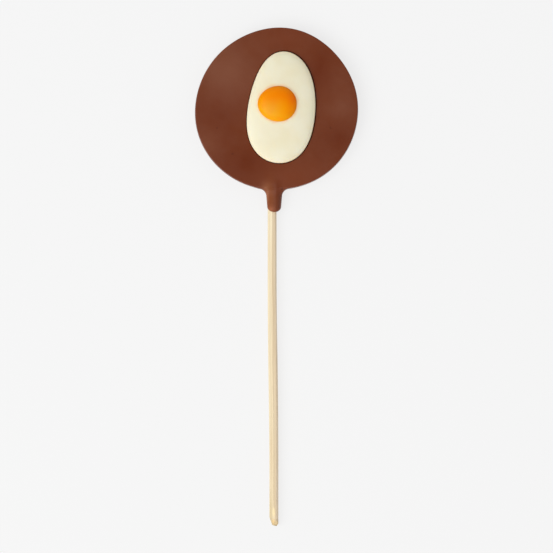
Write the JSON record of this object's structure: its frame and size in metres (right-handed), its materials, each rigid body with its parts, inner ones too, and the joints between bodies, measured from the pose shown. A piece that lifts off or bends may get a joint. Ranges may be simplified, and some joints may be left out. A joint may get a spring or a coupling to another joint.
{
  "type": "chocolate lollipop",
  "caption": "Flat round milk chocolate lollipop with a raised fried egg sweet let into its face, on a thin bamboo stick.",
  "frame": {"origin": "middle of the lollipop's length and width, on the surface that its flat back rests on", "axes": "+Z out of the shown face, +Y from the tip of the stick to the top of the disc, +X to the right"},
  "size_m": [0.0653, 0.1997, 0.0116],
  "materials": {
    "milk_chocolate": "satin milk chocolate with a faint sheen",
    "egg_white": "satin cream-coloured sugar foam",
    "egg_yolk": "glossy orange jelly",
    "bamboo": "bare pale bamboo with fine lengthwise fibres"
  },
  "bodies": {
    "root": {"chocolate_disc": "milk_chocolate", "egg_white": "egg_white", "egg_yolk": "egg_yolk", "stick": "bamboo"}
  },
  "joints": []
}
